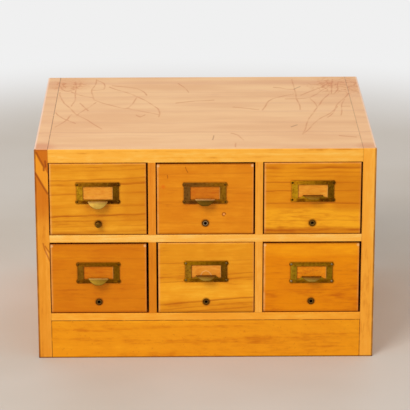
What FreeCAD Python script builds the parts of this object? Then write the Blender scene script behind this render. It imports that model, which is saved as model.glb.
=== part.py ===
import FreeCAD, Part
import math
import os

# A wooden card-index cabinet: two rows of three flush drawers over a plinth.
# All sizes are in millimetres. X runs to the right, Y from the front to the back, Z up.
# Pieces are drawn with the front face of the case at Y = 0 and the floor at Z = 0. At the end
# all are moved along Y together, so the origin is the bottom centre of the whole object's box.

# Case boards
case_width = 527.0
case_depth = 427.0
side_thickness = 21.0
top_thickness = 22.0
shelf_thickness = 12.0
partition_thickness = 12.0
plinth_height = 62.5
plinth_thickness = 18.0
bay_height = 117.5
bays_across = 3
outer_round = 2.0
bay_chamfer = 0.6

# Hidden joints of the case
side_housing = 6.0
partition_housing = 3.0
housing_stop = 12.0
board_tongue_thickness = 8.0
board_tongue_stop = 16.0

# Back panel and its screws
back_thickness = 6.0
rebate_width = 10.0
back_lift = 3.0
screw_head_radius = 3.5
screw_head_height = 2.2
screw_shank_radius = 1.6
screw_length = 22.0
screw_slot_width = 0.9
screw_slot_depth = 0.9
screw_inset = 24.0

# Drawer boards
gap_beside_front = 2.0
gap_below_front = 0.8
running_gap = 0.3
stop_gap = 0.3
front_thickness = 17.0
front_round = 1.2
drawer_side_thickness = 9.0
drawer_side_height = 78.0
drawer_back_thickness = 9.0
drawer_back_housing = 3.0
drawer_back_inset = 10.0
drawer_bottom_thickness = 4.0
drawer_bottom_lift = 1.8
bottom_groove_depth = 4.0
lap_thickness = 6.0
dovetail_count = 3
dovetail_width = 15.0
dovetail_flare = 2.0

# Card frame with a finger tongue, bent from one sheet of brass
sheet_thickness = 0.9
frame_width = 65.3
frame_height = 33.8
frame_depth = 1.8
frame_centre_height = 67.5
frame_edge_chamfer = 0.35
window_width = 46.4
window_height = 21.6
boss_radius = 3.4
boss_spacing_x = 63.0
boss_spacing_z = 27.6
tongue_width = 31.0
tongue_length = 13.0
tongue_curve_radius = 20.0
tongue_bend_radius = 1.0
shoulder_width = 5.0

# Pins, eyelet, card rod and knob
pin_shank_radius = 0.7
pin_head_radius = 1.7
pin_head_height = 1.0
pin_length = 10.0
eyelet_flange_radius = 5.3
eyelet_flange_thickness = 1.2
eyelet_flange_bevel = 0.5
eyelet_barrel_radius = 3.5
eyelet_bore_radius = 2.2
eyelet_countersink = 0.9
rod_clearance = 0.08
rod_height_above_bottom = 12.7
rod_recess = 4.0
rod_slot_width = 0.8
rod_slot_depth = 1.2
rod_tail_inset = 1.0
knob_radius = 4.3
knob_length = 5.0
knob_standoff = 3.5
knob_bore_depth = 3.0
knob_round = 0.9

# Follower block that holds the cards upright
follower_height = 60.0
follower_base = 30.0
follower_top = 12.0
follower_side_gap = 0.6
follower_rod_gap = 0.4
follower_back_gap = 3.0
follower_round = 2.0

# How each drawer differs, from the top left to the bottom right. Worn drawers sit a little off
# centre in their bays (shift) and further in than the case's face (recess), their fronts were
# planed to fit one by one (gap_above, left over the front), and their card frames were pinned on
# by eye (frame_x, frame_z). Each tongue has been bent by use: root is how far its bend stands
# above the window's lower edge, or below it where that is negative, and droop is its slope in
# degrees there.
drawers = [
    dict(row=1, column=0, shift=-0.6, recess=0.3, gap_above=1.2, frame_x=-0.3, frame_z=1.3,
         root=-3.6, droop=28.0),
    dict(row=1, column=1, shift=-0.4, recess=1.5, gap_above=2.8, frame_x=-0.5, frame_z=0.3,
         root=0.3, droop=20.0),
    dict(row=1, column=2, shift=-0.2, recess=0.3, gap_above=1.2, frame_x=0.2, frame_z=3.1,
         root=3.2, droop=-5.0),
    dict(row=0, column=0, shift=-1.4, recess=1.8, gap_above=3.2, frame_x=-0.3, frame_z=-0.2,
         root=0.9, droop=22.0),
    dict(row=0, column=1, shift=0.7, recess=0.3, gap_above=1.2, frame_x=0.0, frame_z=1.7,
         root=3.2, droop=2.0),
    dict(row=0, column=2, shift=-0.7, recess=1.5, gap_above=3.0, frame_x=0.4, frame_z=-1.3,
         root=3.2, droop=0.0),
]
drawer_with_knob = 1

# Sizes that follow from those above
inner_width = case_width - 2 * side_thickness
bay_width = (inner_width - (bays_across - 1) * partition_thickness) / bays_across
shelf_depth = case_depth - back_thickness
bay_floors = [plinth_height + shelf_thickness, plinth_height + 2 * shelf_thickness + bay_height]
inner_top = bay_floors[1] + bay_height
case_height = inner_top + top_thickness
front_width = bay_width - 2 * gap_beside_front
card_width = front_width - 2 * drawer_side_thickness
drawer_floor = running_gap + drawer_bottom_lift + drawer_bottom_thickness
rod_height = drawer_floor + rod_height_above_bottom
rod_radius = eyelet_bore_radius - rod_clearance


def box(x, y, z):
    """A block between two X, two Y and two Z values."""
    return Part.makeBox(x[1] - x[0], y[1] - y[0], z[1] - z[0], FreeCAD.Vector(x[0], y[0], z[0]))


def bar_along_y(radius, x, z, y):
    """A round bar between two Y values."""
    start = FreeCAD.Vector(x, y[0], z)
    return Part.makeCylinder(radius, y[1] - y[0], start, FreeCAD.Vector(0, 1, 0))


def flat_face(corners):
    """A flat face with straight edges between its (x, y, z) corners."""
    loop = [FreeCAD.Vector(*corner) for corner in corners]
    return Part.Face(Part.makePolygon(loop + loop[:1]))


def prism_along_x(points, x):
    """A prism between two X values, whose outline is given as (y, z) points."""
    face = flat_face([(x[0], y, z) for y, z in points])
    return face.extrude(FreeCAD.Vector(x[1] - x[0], 0, 0))


def prism_along_y(points, y):
    """A prism between two Y values, whose outline is given as (x, z) points."""
    face = flat_face([(x, y[0], z) for x, z in points])
    return face.extrude(FreeCAD.Vector(0, y[1] - y[0], 0))


def turned_about_y(points, x, z):
    """A turned piece on an axis along Y, whose outline is given as (radius, y) points."""
    face = flat_face([(radius, y, 0) for radius, y in points])
    turned = face.revolve(FreeCAD.Vector(0, 0, 0), FreeCAD.Vector(0, 1, 0), 360)
    turned.translate(FreeCAD.Vector(x, 0, z))
    return turned


def rounded(shape, radius, test):
    """The shape with a radius on each edge whose middle point and direction pass the test."""
    chosen = []
    for edge in shape.Edges:
        middle = edge.valueAt((edge.FirstParameter + edge.LastParameter) / 2)
        direction = edge.Vertexes[-1].Point.sub(edge.Vertexes[0].Point)
        if test(middle, direction):
            chosen.append(edge)
    return shape.makeFillet(radius, chosen)


def near(a, b):
    return abs(a - b) < 0.01


def bay_left(column):
    """The X of a bay's left wall."""
    return -inner_width / 2 + column * (bay_width + partition_thickness)


def bay_mouths():
    """For each bay, a tool that takes the sharp edge off its mouth in every board around it."""
    mouths = []
    for floor in bay_floors:
        for column in range(bays_across):
            outlines = []
            for y, grow in ((0, bay_chamfer), (bay_chamfer, 0)):
                x0, x1 = bay_left(column) - grow, bay_left(column) + bay_width + grow
                z0, z1 = floor - grow, floor + bay_height + grow
                corners = [(x0, z0), (x1, z0), (x1, z1), (x0, z1), (x0, z0)]
                outlines.append(Part.makePolygon([FreeCAD.Vector(x, y, z) for x, z in corners]))
            mouths.append(Part.makeLoft(outlines, True, True))
    return mouths


def shelf_board(bay_floor):
    """A shelf under a row of bays, with its ends let into the sides from housing_stop back."""
    half = inner_width / 2
    z = (bay_floor - shelf_thickness, bay_floor)
    front = box((-half, half), (0, shelf_depth), z)
    ends = box((-half - side_housing, half + side_housing), (housing_stop, shelf_depth), z)
    return front.fuse(ends).removeSplitter()


def partition_board(row, column):
    """A partition right of a bay, let into the boards below and above from housing_stop back."""
    x0 = bay_left(column) + bay_width
    x = (x0, x0 + partition_thickness)
    z0, z1 = bay_floors[row], bay_floors[row] + bay_height
    front = box(x, (0, shelf_depth), (z0, z1))
    ends = box(x, (housing_stop, shelf_depth), (z0 - partition_housing, z1 + partition_housing))
    return front.fuse(ends).removeSplitter()


def top_board():
    """The top board between the sides, with a hidden tongue along each end."""
    half = inner_width / 2
    board = box((-half, half), (0, case_depth), (inner_top, case_height))
    board = rounded(board, outer_round, lambda middle, direction: (
        near(middle.z, case_height) and near(direction.y, 0)))
    middle_z = inner_top + top_thickness / 2
    tongue = box((-half - side_housing, half + side_housing),
                 (board_tongue_stop, shelf_depth - board_tongue_stop),
                 (middle_z - board_tongue_thickness / 2, middle_z + board_tongue_thickness / 2))
    return board.fuse(tongue).removeSplitter()


def plinth_board():
    """The plinth board between the sides, with a hidden tongue up each end."""
    half = inner_width / 2
    board = box((-half, half), (0, plinth_thickness), (0, plinth_height))
    middle_y = plinth_thickness / 2
    tongue = box((-half - side_housing, half + side_housing),
                 (middle_y - board_tongue_thickness / 2, middle_y + board_tongue_thickness / 2),
                 (board_tongue_stop, plinth_height))
    return board.fuse(tongue).removeSplitter()


def side_board():
    """The left side board before its joints are cut, with its outer edges rounded."""
    half = case_width / 2
    board = box((-half, -inner_width / 2), (0, case_depth), (0, case_height))
    return rounded(board, outer_round, lambda middle, direction: (
        near(middle.x, -half) and not near(middle.z, 0)
        or near(middle.z, case_height) and near(direction.y, 0)))


def back_space():
    """The space that the back panel fills, rebated into the sides and the top."""
    half = inner_width / 2 + rebate_width
    return box((-half, half), (shelf_depth, case_depth), (back_lift, inner_top + rebate_width))


def screw_places():
    """The (x, z) of each back screw: up both sides clear of the shelves, and above each bay."""
    x_side = inner_width / 2 + rebate_width / 2
    heights = [plinth_height / 2]
    for floor in bay_floors:
        heights += [floor + screw_inset, floor + bay_height - screw_inset]
    places = [(x, z) for x in (-x_side, x_side) for z in heights]
    for column in range(bays_across):
        places.append((bay_left(column) + bay_width / 2, inner_top + rebate_width / 2))
    return places


def screw_shank(x, z):
    return bar_along_y(screw_shank_radius, x, z, (case_depth - screw_length, case_depth))


def back_screw(x, z):
    """A round-head screw with a slot, driven in from the back."""
    ball_radius = (screw_head_radius ** 2 + screw_head_height ** 2) / (2 * screw_head_height)
    head_top = case_depth + screw_head_height
    ball = Part.makeSphere(ball_radius, FreeCAD.Vector(x, head_top - ball_radius, z))
    behind_panel = box((x - ball_radius, x + ball_radius), (case_depth, head_top + ball_radius),
                       (z - ball_radius, z + ball_radius))
    slot = box((x - screw_head_radius, x + screw_head_radius), (head_top - screw_slot_depth, head_top),
               (z - screw_slot_width / 2, z + screw_slot_width / 2))
    return ball.common(behind_panel).cut(slot).fuse(screw_shank(x, z)).removeSplitter()


def make_case():
    """The nodes of the case."""
    shelves = [shelf_board(floor) for floor in bay_floors]
    top = top_board()
    plinth = plinth_board()
    partitions = {}
    for row, level in enumerate(("lower", "upper")):
        for column, hand in enumerate(("left", "right")):
            partitions[f"{level}_{hand}_partition"] = partition_board(row, column)
    uprights = list(partitions.values())
    left = side_board()
    right = left.mirror(FreeCAD.Vector(0, 0, 0), FreeCAD.Vector(1, 0, 0))
    shanks = [screw_shank(x, z) for x, z in screw_places()]
    mouths = bay_mouths()
    side_cuts = shelves + [top, plinth, back_space()] + shanks + mouths
    nodes = {
        "left_side": [left.cut(side_cuts)],
        "right_side": [right.cut(side_cuts)],
        "top_board": [top.cut(uprights + [back_space()] + shanks + mouths)],
        "middle_shelf": [shelves[1].cut(uprights + mouths)],
        "bottom_shelf": [shelves[0].cut(uprights + mouths)],
        "plinth_board": [plinth],
        "back_panel": [back_space().cut(shanks)],
        "back_screws": [back_screw(x, z) for x, z in screw_places()],
    }
    for name, board in partitions.items():
        nodes[name] = [board.cut(mouths)]
    return nodes


# Each drawer is drawn with its centre line at X = 0, its face at Y = 0 and its bay's floor at
# Z = 0, and then moved into its bay. length is from its face to the back end of its sides.

def dovetails(side):
    """The tails on the front end of one drawer side, -1 for the left and 1 for the right."""
    outer, inner = side * front_width / 2, side * card_width / 2
    pitch = drawer_side_height / dovetail_count
    tails = []
    for count in range(dovetail_count):
        middle = running_gap + (count + 0.5) * pitch
        wide, narrow = dovetail_width / 2, dovetail_width / 2 - dovetail_flare
        outline = [(lap_thickness, middle - wide), (front_thickness, middle - narrow),
                   (front_thickness, middle + narrow), (lap_thickness, middle + wide)]
        tails.append(prism_along_x(outline, sorted((outer, inner))))
    return tails


def drawer_bottom(length):
    """The bottom panel, let into the front and the sides, flush with the back's outer face."""
    half = card_width / 2 + bottom_groove_depth
    return box((-half, half), (front_thickness - bottom_groove_depth, length - drawer_back_inset),
               (drawer_floor - drawer_bottom_thickness, drawer_floor))


def drawer_back(length):
    """The back board, housed in the sides and standing on the bottom panel."""
    half = card_width / 2 + drawer_back_housing
    rear = length - drawer_back_inset
    return box((-half, half), (rear - drawer_back_thickness, rear),
               (drawer_floor, running_gap + drawer_side_height))


def drawer_side(side, length):
    """One side board with its tails, its groove for the bottom and its housing for the back."""
    x = sorted((side * front_width / 2, side * card_width / 2))
    board = box(x, (front_thickness, length), (running_gap, running_gap + drawer_side_height))
    board = board.fuse(dovetails(side)).removeSplitter()
    half = card_width / 2 + bottom_groove_depth
    groove = box((-half, half), (front_thickness - bottom_groove_depth, length),
                 (drawer_floor - drawer_bottom_thickness, drawer_floor))
    return board.cut([groove, drawer_back(length)])


def pin_places(frame_x, frame_z):
    """The (x, z) of the four pins of a card frame."""
    x, z = boss_spacing_x / 2, boss_spacing_z / 2
    return [(frame_x + sx * x, frame_z + sz * z) for sx in (-1, 1) for sz in (-1, 1)]


def pin_shank(x, z):
    return bar_along_y(pin_shank_radius, x, z, (-frame_depth, pin_length - frame_depth))


def drawer_front(frame_x, frame_z, gap_above, length):
    """The front board, with sockets for the tails and holes for the pins and the eyelet."""
    half = front_width / 2
    board = box((-half, half), (0, front_thickness), (gap_below_front, bay_height - gap_above))
    board = rounded(board, front_round, lambda middle, direction: near(middle.y, 0))
    holes = [pin_shank(x, z) for x, z in pin_places(frame_x, frame_z)]
    holes.append(bar_along_y(eyelet_barrel_radius, 0, rod_height, (0, front_thickness)))
    return board.cut(dovetails(-1) + dovetails(1) + [drawer_bottom(length)] + holes)


def card_frame(root, droop):
    """The stamped frame, with its centre at X = Z = 0 and its back on the wood at Y = 0."""
    half_x, half_z = frame_width / 2, frame_height / 2
    front_y = -frame_depth
    plate = box((-half_x, half_x), (front_y, 0), (-half_z, half_z))
    pocket = box((sheet_thickness - half_x, half_x - sheet_thickness), (front_y + sheet_thickness, 0),
                 (sheet_thickness - half_z, half_z))
    bosses = [bar_along_y(boss_radius, x, z, (front_y, 0)) for x, z in pin_places(0, 0)]
    plate = plate.cut(pocket).fuse(bosses).removeSplitter()
    window = box((-window_width / 2, window_width / 2), (front_y, 0),
                 (-window_height / 2, window_height / 2))
    plate = plate.cut(window)
    plate = plate.makeChamfer(frame_edge_chamfer, front_outline(plate, front_y))
    shanks = [pin_shank(x, z) for x, z in pin_places(0, 0)]
    return plate.cut(shanks).fuse(finger_tongue(root, droop)).removeSplitter()


def front_outline(plate, front_y):
    """The outer outline of the plate's front face."""
    front = max((face for face in plate.Faces if near(face.CenterOfMass.y, front_y)),
                key=lambda face: face.Area)
    return front.OuterWire.Edges


def finger_tongue(root, droop):
    """The half-round tongue, bent forward out of the frame's lower rail with sloping shoulders."""
    half = tongue_width / 2
    back_y, front_y = sheet_thickness - frame_depth, -frame_depth
    rail_top = -window_height / 2
    bend_z = rail_top + root
    shoulder_top = max(bend_z, rail_top)
    shoulders = prism_along_y([(-half - shoulder_width, rail_top - sheet_thickness),
                               (-half - shoulder_width, rail_top), (-half, shoulder_top),
                               (half, shoulder_top), (half + shoulder_width, rail_top),
                               (half + shoulder_width, rail_top - sheet_thickness)],
                              (front_y, back_y))
    axis = FreeCAD.Vector(0, front_y - tongue_bend_radius, bend_z)
    along_x = FreeCAD.Vector(1, 0, 0)
    bend_start = flat_face([(-half, front_y, bend_z), (half, front_y, bend_z),
                            (half, back_y, bend_z), (-half, back_y, bend_z)])
    bend = bend_start.revolve(axis, along_x, 90 + droop)
    flap_top = bend_z + tongue_bend_radius + sheet_thickness
    flap_bottom = flap_top - sheet_thickness
    curve_axis = FreeCAD.Vector(0, axis.y, flap_top - tongue_curve_radius)
    flap_start = flat_face([(-half, axis.y, flap_bottom), (half, axis.y, flap_bottom),
                            (half, axis.y, flap_top), (-half, axis.y, flap_top)])
    flap = flap_start.revolve(curve_axis, along_x, math.degrees(tongue_length / tongue_curve_radius))
    flap = flap.common(half_round(half, axis.y, flap_top))
    flap.rotate(axis, along_x, droop)
    return shoulders.fuse([bend, flap]).removeSplitter()


def half_round(half, y, top):
    """An upright prism whose outline is an arc from one end of the tongue's root to the other."""
    reach = tongue_curve_radius * math.sin(tongue_length / tongue_curve_radius)
    bottom = top - tongue_curve_radius
    left = FreeCAD.Vector(-half, y, bottom)
    tip = FreeCAD.Vector(0, y - reach, bottom)
    right = FreeCAD.Vector(half, y, bottom)
    outline = Part.Wire([Part.Arc(left, tip, right).toShape(),
                         Part.LineSegment(right, left).toShape()])
    return Part.Face(outline).extrude(FreeCAD.Vector(0, 0, tongue_curve_radius))


def pin(x, z):
    """A round-head pin through a corner of the card frame."""
    ball_radius = (pin_head_radius ** 2 + pin_head_height ** 2) / (2 * pin_head_height)
    head_top = -frame_depth - pin_head_height
    ball = Part.makeSphere(ball_radius, FreeCAD.Vector(x, head_top + ball_radius, z))
    before_frame = box((x - ball_radius, x + ball_radius), (head_top - ball_radius, -frame_depth),
                       (z - ball_radius, z + ball_radius))
    return ball.common(before_frame).fuse(pin_shank(x, z)).removeSplitter()


def eyelet():
    """The flanged eyelet that lines the rod's hole through the front."""
    flange = -eyelet_flange_thickness
    outline = [(eyelet_bore_radius, front_thickness), (eyelet_barrel_radius, front_thickness),
               (eyelet_barrel_radius, 0), (eyelet_flange_radius, 0),
               (eyelet_flange_radius, flange + eyelet_flange_bevel),
               (eyelet_flange_radius - eyelet_flange_bevel, flange),
               (eyelet_bore_radius + eyelet_countersink, flange),
               (eyelet_bore_radius, flange + eyelet_countersink)]
    return turned_about_y(outline, 0, rod_height)


def card_rod(length, has_knob):
    """The card rod from the front to its hole in the drawer back, with its knob if it has one."""
    front = -knob_standoff - knob_bore_depth if has_knob else rod_recess
    rear = length - drawer_back_inset - rod_tail_inset
    rod = bar_along_y(rod_radius, 0, rod_height, (front, rear))
    if not has_knob:
        slot = box((-rod_radius, rod_radius), (front, front + rod_slot_depth),
                   (rod_height - rod_slot_width / 2, rod_height + rod_slot_width / 2))
        return [rod.cut(slot)]
    face = -knob_standoff - knob_length
    knob = bar_along_y(knob_radius, 0, rod_height, (face, -knob_standoff))
    knob = rounded(knob, knob_round, lambda middle, direction: (
        near(middle.y, face) or near(middle.y, -knob_standoff)))
    return [rod, knob.cut(rod)]


def follower(length):
    """The sloping block that slides on the rod behind the cards, at the back of its travel."""
    half = card_width / 2 - follower_side_gap
    rear = length - drawer_back_inset - drawer_back_thickness - follower_back_gap
    foot = drawer_floor + running_gap
    outline = [(rear - follower_base, foot), (rear, foot), (rear, foot + follower_height),
               (rear - follower_top, foot + follower_height)]
    block = prism_along_x(outline, (-half, half))
    block = rounded(block, follower_round, lambda middle, direction: near(middle.z, foot + follower_height))
    bore = bar_along_y(rod_radius + follower_rod_gap, 0, rod_height, (rear - follower_base, rear))
    return block.cut(bore)


def make_drawer(number, spec):
    """The nodes of one drawer, moved into its bay."""
    length = shelf_depth - stop_gap - spec["recess"]
    frame_x, frame_z = spec["frame_x"], frame_centre_height + spec["frame_z"]
    frame = card_frame(spec["root"], spec["droop"])
    frame.translate(FreeCAD.Vector(frame_x, 0, frame_z))
    tail_hole = bar_along_y(eyelet_bore_radius, 0, rod_height, (front_thickness, length))
    pieces = {
        "front": [drawer_front(frame_x, frame_z, spec["gap_above"], length)],
        "sides": [drawer_side(side, length) for side in (-1, 1)],
        "back": [drawer_back(length).cut(tail_hole)],
        "bottom": [drawer_bottom(length)],
        "card_frame": [frame],
        "pins_and_eyelet": [pin(x, z) for x, z in pin_places(frame_x, frame_z)] + [eyelet()],
        "rod": card_rod(length, number == drawer_with_knob),
        "follower": [follower(length)],
    }
    place = FreeCAD.Vector(bay_left(spec["column"]) + bay_width / 2 + spec["shift"],
                           spec["recess"], bay_floors[spec["row"]])
    nodes = {}
    for name, solids in pieces.items():
        for solid in solids:
            solid.translate(place)
        nodes[f"drawer_{number}_{name}"] = solids
    return nodes


def write_nodes(nodes):
    """Write each node to its own file, moved so that the origin is under the object's middle."""
    boxes = [solid.optimalBoundingBox(False) for solids in nodes.values() for solid in solids]
    middle = (min(b.YMin for b in boxes) + max(b.YMax for b in boxes)) / 2
    os.makedirs("parts", exist_ok=True)
    for name, solids in nodes.items():
        for solid in solids:
            solid.translate(FreeCAD.Vector(0, -middle, 0))
        shape = solids[0] if len(solids) == 1 else Part.makeCompound(solids)
        shape.exportStep(f"parts/{name}.step")


nodes = make_case()
for number, spec in enumerate(drawers, start=1):
    nodes.update(make_drawer(number, spec))
write_nodes(nodes)
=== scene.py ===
import math

import bmesh
import bpy
from mathutils import Euler, Matrix, Vector


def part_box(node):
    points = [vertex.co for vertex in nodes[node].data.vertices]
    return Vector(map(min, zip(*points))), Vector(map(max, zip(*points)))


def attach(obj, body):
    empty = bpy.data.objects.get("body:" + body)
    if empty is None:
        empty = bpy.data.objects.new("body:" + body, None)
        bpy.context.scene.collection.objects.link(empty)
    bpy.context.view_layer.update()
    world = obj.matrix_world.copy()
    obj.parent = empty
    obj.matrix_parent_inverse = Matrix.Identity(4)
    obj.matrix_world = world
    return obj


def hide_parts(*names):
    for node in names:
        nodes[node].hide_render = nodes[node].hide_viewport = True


# A varnished wooden card-index cabinet with brass fittings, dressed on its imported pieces.
# The frame, the camera, the lamp and the floor's size are in metres, and everything else is in
# millimetres. Heights count from the ground, but those in the table of fronts from a front's own
# lower edge. Places on the top count from the middle of its front edge.
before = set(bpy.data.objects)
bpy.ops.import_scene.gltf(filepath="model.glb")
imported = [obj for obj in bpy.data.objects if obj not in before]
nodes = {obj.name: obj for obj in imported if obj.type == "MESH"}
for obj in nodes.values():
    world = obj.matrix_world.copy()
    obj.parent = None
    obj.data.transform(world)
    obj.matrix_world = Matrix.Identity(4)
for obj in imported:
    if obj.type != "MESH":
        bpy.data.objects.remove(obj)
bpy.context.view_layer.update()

MM = 0.001


def edges(node):
    """A node's lowest and highest corners in millimetres."""
    low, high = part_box(node)
    return low / MM, high / MM


case_low, case_high = edges("left_side")
front_y, back_y = case_low.y, case_high.y
case_height = case_high.z
case_half_width = -case_low.x
back_rebate = 10.0
inner_half_width = edges("back_panel")[1].x - back_rebate
shelf_tops = {name: edges(name)[1].z for name in ("bottom_shelf", "middle_shelf")}
shelf_thickness = 12.0
plinth_top = shelf_tops["bottom_shelf"] - shelf_thickness


def paint(red, green, blue):
    """A colour given as it looks on a screen, 0 to 255, as the shader wants it."""
    linear = []
    for value in (red, green, blue):
        share = value / 255
        linear.append(share / 12.92 if share <= 0.04045 else ((share + 0.055) / 1.055) ** 2.4)
    return (*linear, 1.0)


# Camera, light and floor

floor_radius = 12.0
photo_width = 410
focal_length = 2298.8
sensor_width = 36.0
camera_place = Vector((-0.0368, -3.3783, 1.3584))
camera_yaw, camera_pitch, camera_roll = (math.radians(angle) for angle in (0.6085, 18.1215, -0.077))


def make_camera():
    """A long lens from a little above the cabinet, placed from the middle of its front's foot."""
    data = bpy.data.cameras.new("camera")
    data.sensor_width = sensor_width
    data.lens = sensor_width * focal_length / photo_width
    camera = bpy.data.objects.new("camera", data)
    bpy.context.scene.collection.objects.link(camera)
    place = camera_place + Vector((0, front_y * MM, 0))
    turn = Euler((math.pi / 2 - camera_pitch, 0, -camera_yaw)).to_matrix().to_4x4()
    camera.matrix_world = Matrix.Translation(place) @ turn @ Matrix.Rotation(camera_roll, 4, "Z")
    bpy.context.scene.camera = camera


def soft_box(name, place, size, power, tint):
    """A square lamp aimed at the middle of the cabinet."""
    data = bpy.data.lights.new(name, "AREA")
    data.size = size
    data.energy = power
    data.color = tint
    lamp = bpy.data.objects.new(name, data)
    lamp.location = place
    aim = Vector((0, 0, case_height * MM / 2)) - Vector(place)
    lamp.rotation_euler = aim.to_track_quat("-Z", "Y").to_euler()
    bpy.context.scene.collection.objects.link(lamp)


def seen_by_camera(tree):
    """1 on the rays that show a surface to the camera, straight, mirrored or through glass."""
    rays = tree.nodes.new("ShaderNodeLightPath").outputs
    seen = rays["Is Camera Ray"]
    for kind in ("Is Glossy Ray", "Is Transmission Ray"):
        either = tree.nodes.new("ShaderNodeMath")
        either.operation = "MAXIMUM"
        tree.links.new(seen, either.inputs[0])
        tree.links.new(rays[kind], either.inputs[1])
        seen = either.outputs[0]
    return seen


def show_either(tree, share, first, second, output):
    """Show a node's first shader, and the second one's where share is 1."""
    choice = tree.nodes.new("ShaderNodeMixShader")
    for socket, shown in zip(choice.inputs, (share, first.outputs[0], second.outputs[0])):
        tree.links.new(shown, socket)
    tree.links.new(choice.outputs[0], tree.nodes[output].inputs["Surface"])


def make_world(light, backdrop):
    """Even light from all round, which looks like a pale wall where it is seen or mirrored."""
    world = bpy.data.worlds.new("studio")
    world.use_nodes = True
    bpy.context.scene.world = world
    tree = world.node_tree
    lit = tree.nodes["Background"]
    lit.inputs["Color"].default_value = (1, 1, 1, 1)
    lit.inputs["Strength"].default_value = light
    wall = tree.nodes.new("ShaderNodeBackground")
    wall.inputs["Color"].default_value = backdrop
    show_either(tree, seen_by_camera(tree), lit, wall, "World Output")


class Finish:
    """A material built up node by node. Each method that adds a node returns its output."""

    def __init__(self, name, seed=0):
        self.material = bpy.data.materials.new(name)
        self.material.use_nodes = True
        self.tree = self.material.node_tree
        self.surface = self.tree.nodes["Principled BSDF"]
        where = self.tree.nodes.new("ShaderNodeTexCoord").outputs
        self.point = self.vector("MULTIPLY", where["Object"], (1 / MM,) * 3)
        self.place = dict(zip("xyz", self.parts(self.point)))
        self.facing = dict(zip("xyz", self.parts(where["Normal"])))
        self.seed = seed
        self.tone = None
        self.height = None
        self.dark = None

    def add(self, kind, inputs, output=0, **settings):
        node = self.tree.nodes.new(kind)
        for name, setting in settings.items():
            setattr(node, name, setting)
        for socket, value in inputs.items():
            self.feed(node.inputs[socket], value)
        return node.outputs[output]

    def feed(self, socket, value):
        if isinstance(value, bpy.types.NodeSocket):
            self.tree.links.new(value, socket)
        else:
            socket.default_value = value

    def math(self, operation, a, b=0.0, c=0.0, clamp=False):
        return self.add("ShaderNodeMath", {0: a, 1: b, 2: c}, operation=operation, use_clamp=clamp)

    def total(self, *values):
        """The sum of several values."""
        so_far = values[0]
        for value in values[1:]:
            so_far = self.math("ADD", so_far, value)
        return so_far

    def product(self, *values):
        so_far = values[0]
        for value in values[1:]:
            so_far = self.math("MULTIPLY", so_far, value)
        return so_far

    def vector(self, operation, a, b=(0, 0, 0), output=0):
        return self.add("ShaderNodeVectorMath", {0: a, 1: b}, output, operation=operation)

    def parts(self, vector):
        node = self.tree.nodes.new("ShaderNodeSeparateXYZ")
        self.feed(node.inputs[0], vector)
        return list(node.outputs)

    def joined(self, x, y, z=0.0):
        return self.add("ShaderNodeCombineXYZ", {0: x, 1: y, 2: z})

    def noise(self, vector, size, detail=2.0, roughness=0.5):
        """Soft noise from 0 to 1 whose features are about size millimetres."""
        self.seed += 1
        shifted = self.vector("ADD", vector, (self.seed * 71.3, self.seed * 37.7, self.seed * 53.9))
        return self.add("ShaderNodeTexNoise", {
            "Vector": shifted, "Scale": 1 / size, "Detail": detail, "Roughness": roughness})

    def ramp(self, value, start, end, low=0.0, high=1.0):
        """Low up to start, high from end on, and a smooth step between. End may lie before start."""
        return self.add("ShaderNodeMapRange", {
            "Value": value, "From Min": start, "From Max": end, "To Min": low, "To Max": high},
            interpolation_type="SMOOTHSTEP")

    def steps(self, value, stops):
        """A piecewise value: straight between the (place, amount) stops, places from 0 to 1."""
        node = self.tree.nodes.new("ShaderNodeValToRGB")
        elements = node.color_ramp.elements
        for element, (place, amount) in zip(elements, (stops[0], stops[-1])):
            element.position = place
            element.color = (amount, amount, amount, 1)
        for place, amount in stops[1:-1]:
            elements.new(place).color = (amount, amount, amount, 1)
        self.feed(node.inputs[0], value)
        return node.outputs[0]

    def mix(self, share, a, b, blend="MIX"):
        """Colour b over colour a by a share from 0 to 1."""
        return self.add("ShaderNodeMix", {0: share, 6: a, 7: b}, 2, data_type="RGBA", blend_type=blend)

    def cover(self, colour, *shares):
        """Paint a colour over what is there, by the product of some shares."""
        self.tone = self.mix(self.product(*shares), self.tone, colour)

    def stain(self, colour, *shares):
        """Darken what is there towards itself times a colour, by the product of some shares."""
        self.tone = self.mix(self.product(*shares), self.tone, colour, "MULTIPLY")

    def near(self, value, at, reach):
        """1 at a place, fading to 0 at a distance of reach."""
        away = self.math("ABSOLUTE", self.math("SUBTRACT", value, at))
        return self.ramp(away, reach, 0.0)

    def between(self, value, low, high, soft):
        """1 between two values, fading to 0 over a soft edge outside either."""
        return self.product(self.ramp(value, low - soft, low), self.ramp(value, high + soft, high))

    def oblong(self, middle, half_width, half_height, soft):
        """1 in an upright oblong of the front face, fading to 0 over a soft edge round it."""
        x, z = middle
        return self.product(self.between(self.place["x"], x - half_width, x + half_width, soft),
                            self.between(self.place["z"], z - half_height, z + half_height, soft))

    def spot(self, point, middle, inner, outer):
        """1 within inner of a place, fading to 0 at outer."""
        away = self.vector("DISTANCE", point, (*middle, 0), "Value")
        return self.ramp(away, outer, inner)

    def figure(self, height, span, lines):
        """Dark lines across a board that spans so much, each given as (height, width, strength):
        sharp below and fading above."""
        stops = [(0.0, 0.0)]
        for at, width, strength in lines:
            stops += [(at - 0.6 * width, 0.0), (at, strength), (at + 1.4 * width, 0.0)]
        stops.append((span, 0.0))
        return self.steps(self.math("DIVIDE", height, span), [(at / span, amount) for at, amount in stops])

    def away_from(self, point, start, end):
        """How far a point lies from the straight line between two places."""
        run = Vector((*end, 0)) - Vector((*start, 0))
        offset = self.vector("SUBTRACT", point, (*start, 0))
        share = self.vector("DOT_PRODUCT", offset, tuple(run / run.length_squared), "Value")
        share = self.math("MINIMUM", self.math("MAXIMUM", share, 0.0), 1.0)
        foot = self.add("ShaderNodeVectorMath", {0: tuple(run), "Scale": share}, operation="SCALE")
        return self.vector("DISTANCE", offset, foot, "Value")

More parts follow.
